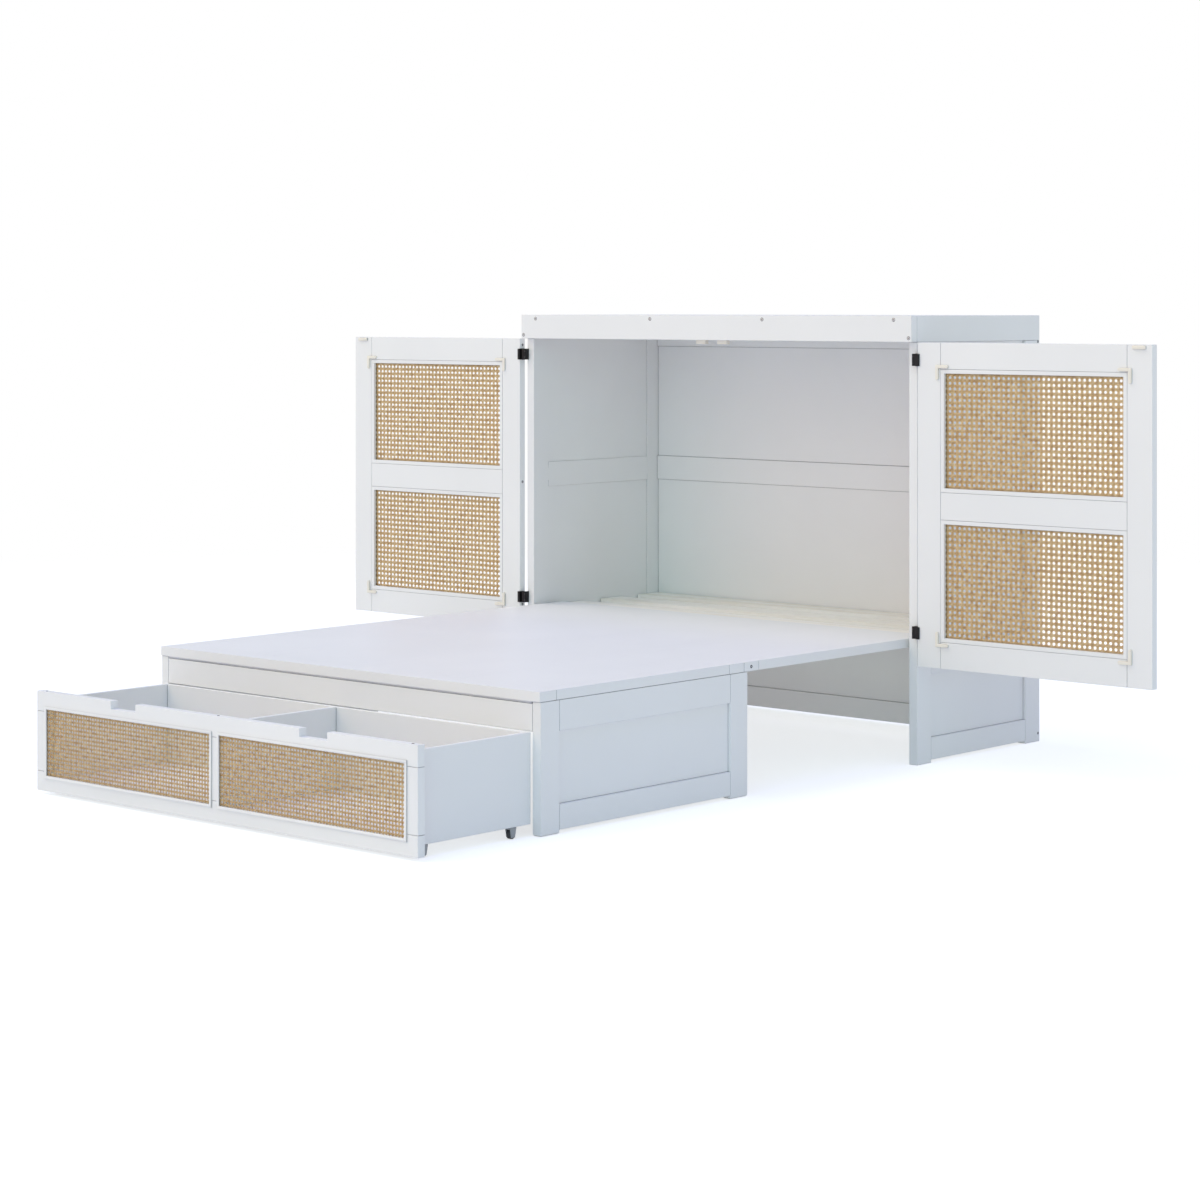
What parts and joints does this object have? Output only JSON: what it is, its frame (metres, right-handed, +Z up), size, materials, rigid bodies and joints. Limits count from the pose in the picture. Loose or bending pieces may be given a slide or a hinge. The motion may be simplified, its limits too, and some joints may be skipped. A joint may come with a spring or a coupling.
{
  "type": "murphy bed",
  "caption": "Freestanding cabinet bed, shown open: hinged cane-panel doors, a folding framed deck, a slide-out leg base and a rolling cane-front drawer.",
  "frame": {"origin": "on the floor, in the middle of the open bed's footprint", "axes": "+X along the open doors, to the viewer's right; +Y towards the back of the cabinet; +Z up"},
  "size_m": [2.9176, 2.453, 1.213],
  "materials": {
    "white_painted_wood": "satin white paint over solid wood",
    "pine": "bare softwood, sanded",
    "cane": "woven rattan cane webbing",
    "black_metal": "black hinge",
    "steel": "plain steel",
    "cream_plastic": "cream plastic",
    "grey_plastic": "grey plastic",
    "wheel_rubber": "dark rubber"
  },
  "bodies": {
    "cabinet": {"cabinet_left_frame": "white_painted_wood", "cabinet_right_frame": "white_painted_wood", "cabinet_left_panel": "white_painted_wood", "cabinet_right_panel": "white_painted_wood", "cabinet_back": "white_painted_wood", "top_board": "white_painted_wood", "fascia": "white_painted_wood", "slat_front": "pine", "slat_middle": "pine", "slat_rear": "pine", "left_slat_cleat": "pine", "right_slat_cleat": "pine", "left_door_catch": "cream_plastic", "right_door_catch": "cream_plastic", "left_upper_hinge_block": "black_metal", "left_lower_hinge_block": "black_metal", "right_upper_hinge_block": "black_metal", "right_lower_hinge_block": "black_metal"},
    "left_door": {"left_door_frame": "white_painted_wood", "left_door_lower_cane": "cane", "left_door_upper_cane": "cane", "left_door_lower_bead": "white_painted_wood", "left_door_upper_bead": "white_painted_wood", "left_door_latch": "cream_plastic", "left_upper_hinge_leaf": "black_metal", "left_lower_hinge_leaf": "black_metal"},
    "right_door": {"right_door_frame": "white_painted_wood", "right_door_lower_cane": "cane", "right_door_upper_cane": "cane", "right_door_lower_bead": "white_painted_wood", "right_door_upper_bead": "white_painted_wood", "right_door_latch": "cream_plastic", "right_upper_hinge_leaf": "black_metal", "right_lower_hinge_leaf": "black_metal"},
    "mid_deck": {"mid_deck": "white_painted_wood", "mid_deck_hinge": "steel"},
    "front_deck": {"front_deck": "white_painted_wood", "front_deck_hinge": "steel"},
    "base": {"base_left_frame": "white_painted_wood", "base_right_frame": "white_painted_wood", "base_left_panel": "white_painted_wood", "base_right_panel": "white_painted_wood", "base_front_rail": "white_painted_wood", "base_rear_rail": "white_painted_wood"},
    "drawer": {"drawer_face": "white_painted_wood", "drawer_left_cane": "cane", "drawer_right_cane": "cane", "drawer_left_side": "white_painted_wood", "drawer_right_side": "white_painted_wood", "drawer_back": "white_painted_wood", "drawer_divider": "white_painted_wood", "drawer_bottom": "white_painted_wood", "front_left_caster": "grey_plastic", "front_right_caster": "grey_plastic", "rear_left_caster": "grey_plastic", "rear_right_caster": "grey_plastic"},
    "front_left_wheel": {"front_left_wheel": "wheel_rubber"},
    "front_right_wheel": {"front_right_wheel": "wheel_rubber"},
    "rear_left_wheel": {"rear_left_wheel": "wheel_rubber"},
    "rear_right_wheel": {"rear_right_wheel": "wheel_rubber"}
  },
  "joints": [
    {"name": "left_door_swing", "type": "hinge", "parent": "cabinet", "child": "left_door", "pos_m": [-0.72865, 0.6196, 0], "axis": [0, 0, 1], "range_deg": [0, 90]},
    {"name": "right_door_swing", "type": "hinge", "parent": "cabinet", "child": "right_door", "pos_m": [0.72865, 0.6196, 0], "axis": [0, 0, -1], "range_deg": [0, 90]},
    {"name": "deck_fold", "type": "hinge", "parent": "cabinet", "child": "mid_deck", "pos_m": [0, 0.736, 0.32675], "axis": [-1, 0, 0], "range_deg": [0, 90]},
    {"name": "front_deck_fold", "type": "hinge", "parent": "mid_deck", "child": "front_deck", "pos_m": [0, -0.066, 0.312], "axis": [1, 0, 0], "range_deg": [0, 180]},
    {"name": "base_slide", "type": "slide", "parent": "cabinet", "child": "base", "axis": [0, 1, 0], "range_m": [0, 1.25]},
    {"name": "drawer_slide", "type": "slide", "parent": "base", "child": "drawer", "axis": [0, 1, 0], "range_m": [0, 0.381]},
    {"name": "front_left_wheel_spin", "type": "hinge", "parent": "drawer", "child": "front_left_wheel", "pos_m": [-0.6455, -1.1675, 0.0105], "axis": [1, 0, 0], "continuous": true},
    {"name": "front_right_wheel_spin", "type": "hinge", "parent": "drawer", "child": "front_right_wheel", "pos_m": [0.6455, -1.1675, 0.0105], "axis": [1, 0, 0], "continuous": true},
    {"name": "rear_left_wheel_spin", "type": "hinge", "parent": "drawer", "child": "rear_left_wheel", "pos_m": [-0.6455, -0.8785, 0.0105], "axis": [1, 0, 0], "continuous": true},
    {"name": "rear_right_wheel_spin", "type": "hinge", "parent": "drawer", "child": "rear_right_wheel", "pos_m": [0.6455, -0.8785, 0.0105], "axis": [1, 0, 0], "continuous": true}
  ],
  "couplings": [
    {"joint": "front_deck_fold", "follows": "deck_fold", "ratio": 2}
  ]
}
